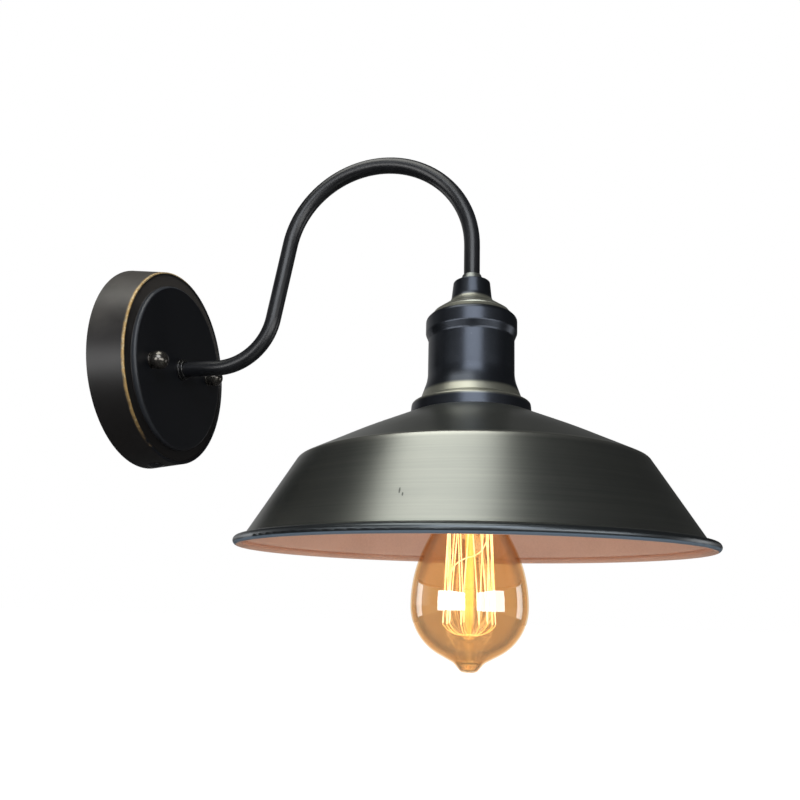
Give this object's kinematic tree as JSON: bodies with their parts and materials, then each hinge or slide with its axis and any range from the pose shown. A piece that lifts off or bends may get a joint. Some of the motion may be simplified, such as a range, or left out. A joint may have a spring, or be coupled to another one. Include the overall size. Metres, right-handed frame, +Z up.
{
  "type": "gooseneck wall light",
  "caption": "Wall light with a round canopy, a bent gooseneck tube and a domed metal shade on a stepped socket cup, holding a teardrop filament bulb.",
  "frame": {"origin": "centre of the canopy on the wall plane, midway between the two wall slots", "axes": "+Y into the wall, so the arm reaches out along -Y; +Z up; +X along the bracket"},
  "size_m": [0.26, 0.34, 0.3119],
  "materials": {
    "dark_bronze": "satin dark bronze paint, warm at the canopy side",
    "black_metal": "satin black paint",
    "gunmetal": "brushed dark pewter under clear lacquer, white enamel inside the shade",
    "pewter": "satin pewter",
    "zinc_steel": "zinc-plated steel",
    "brass": "plain brass",
    "nickel_brass": "nickel-plated screw cap",
    "porcelain": "glazed porcelain",
    "black_plastic": "moulded black plastic",
    "white_plastic": "moulded white nylon",
    "amber_glass": "amber tinted clear glass",
    "stem_glass": "clear glass lit by the filament",
    "solder": "dull solder",
    "filament": "glowing wire",
    "support_wire": "fine bright wire",
    "brown_insulation": "brown wire insulation",
    "blue_insulation": "blue wire insulation",
    "green_insulation": "green and yellow wire insulation"
  },
  "bodies": {
    "fixture": {"wall_bracket": "zinc_steel", "canopy_studs": "zinc_steel", "stud_lock_nuts": "zinc_steel", "earth_screw": "brass", "earth_ring_terminal": "zinc_steel", "terminal_block": "white_plastic", "terminal_block_screws": "zinc_steel", "canopy": "dark_bronze", "canopy_plug": "black_plastic", "arm_collar": "black_metal", "arm_tube": "black_metal", "arm_bush": "zinc_steel", "bush_washer": "zinc_steel", "bush_nut": "zinc_steel", "lamp_nipple": "zinc_steel", "neck_collar": "pewter", "neck_cap": "gunmetal", "socket_cup": "gunmetal", "cup_washer": "zinc_steel", "cup_nut": "zinc_steel", "holder_cap": "black_plastic", "holder_grub_screw": "zinc_steel", "holder_body": "black_plastic", "holder_core": "porcelain", "screw_shell": "brass", "centre_contact": "brass", "terminal_posts": "brass", "terminal_post_screws": "zinc_steel", "live_wire": "brown_insulation", "neutral_wire": "blue_insulation", "earth_wire": "green_insulation"},
    "left_washer": {"left_nut_washer": "black_metal"},
    "left_nut": {"left_ball_nut": "black_metal"},
    "right_washer": {"right_nut_washer": "black_metal"},
    "right_nut": {"right_ball_nut": "black_metal"},
    "shade": {"shade": "gunmetal"},
    "shade_ring": {"shade_ring": "black_plastic"},
    "bulb_carriage": {"bulb_contact": "solder"},
    "bulb": {"bulb_insulator": "black_plastic", "bulb_cap": "nickel_brass", "bulb_glass": "amber_glass", "bulb_stem": "stem_glass", "bulb_leads": "support_wire", "bulb_supports": "support_wire", "bulb_filament": "filament"}
  },
  "joints": [
    {"name": "left_nut_travel", "type": "slide", "parent": "fixture", "child": "left_washer", "axis": [0, -1, 0], "range_m": [0, 0.0049]},
    {"name": "left_nut_turn", "type": "hinge", "parent": "left_washer", "child": "left_nut", "pos_m": [-0.03466, -0.025, -0.00487], "axis": [0, -1, 0], "range_deg": [0, 2520]},
    {"name": "right_nut_travel", "type": "slide", "parent": "fixture", "child": "right_washer", "axis": [0, -1, 0], "range_m": [0, 0.0049]},
    {"name": "right_nut_turn", "type": "hinge", "parent": "right_washer", "child": "right_nut", "pos_m": [0.03466, -0.025, 0.00487], "axis": [0, -1, 0], "range_deg": [0, 2520]},
    {"name": "shade_ring_travel", "type": "slide", "parent": "fixture", "child": "shade", "axis": [0, 0, -1], "range_m": [0, 0.0105]},
    {"name": "shade_ring_turn", "type": "hinge", "parent": "shade", "child": "shade_ring", "pos_m": [0, -0.21, -0.042], "axis": [0, 0, -1], "range_deg": [0, 1080]},
    {"name": "bulb_travel", "type": "slide", "parent": "fixture", "child": "bulb_carriage", "axis": [0, 0, -1], "range_m": [0, 0.02177]},
    {"name": "bulb_turn", "type": "hinge", "parent": "bulb_carriage", "child": "bulb", "pos_m": [0, -0.21, -0.05], "axis": [0, 0, -1], "range_deg": [0, 2160]}
  ],
  "couplings": [
    {"joint": "left_nut_travel", "follows": "left_nut_turn", "m_per_rad": 0.00011141},
    {"joint": "right_nut_travel", "follows": "right_nut_turn", "m_per_rad": 0.00011141},
    {"joint": "shade_ring_turn", "follows": "shade_ring_travel", "rad_per_m": 1795.2},
    {"joint": "bulb_travel", "follows": "bulb_turn", "m_per_rad": 0.0005775}
  ]
}
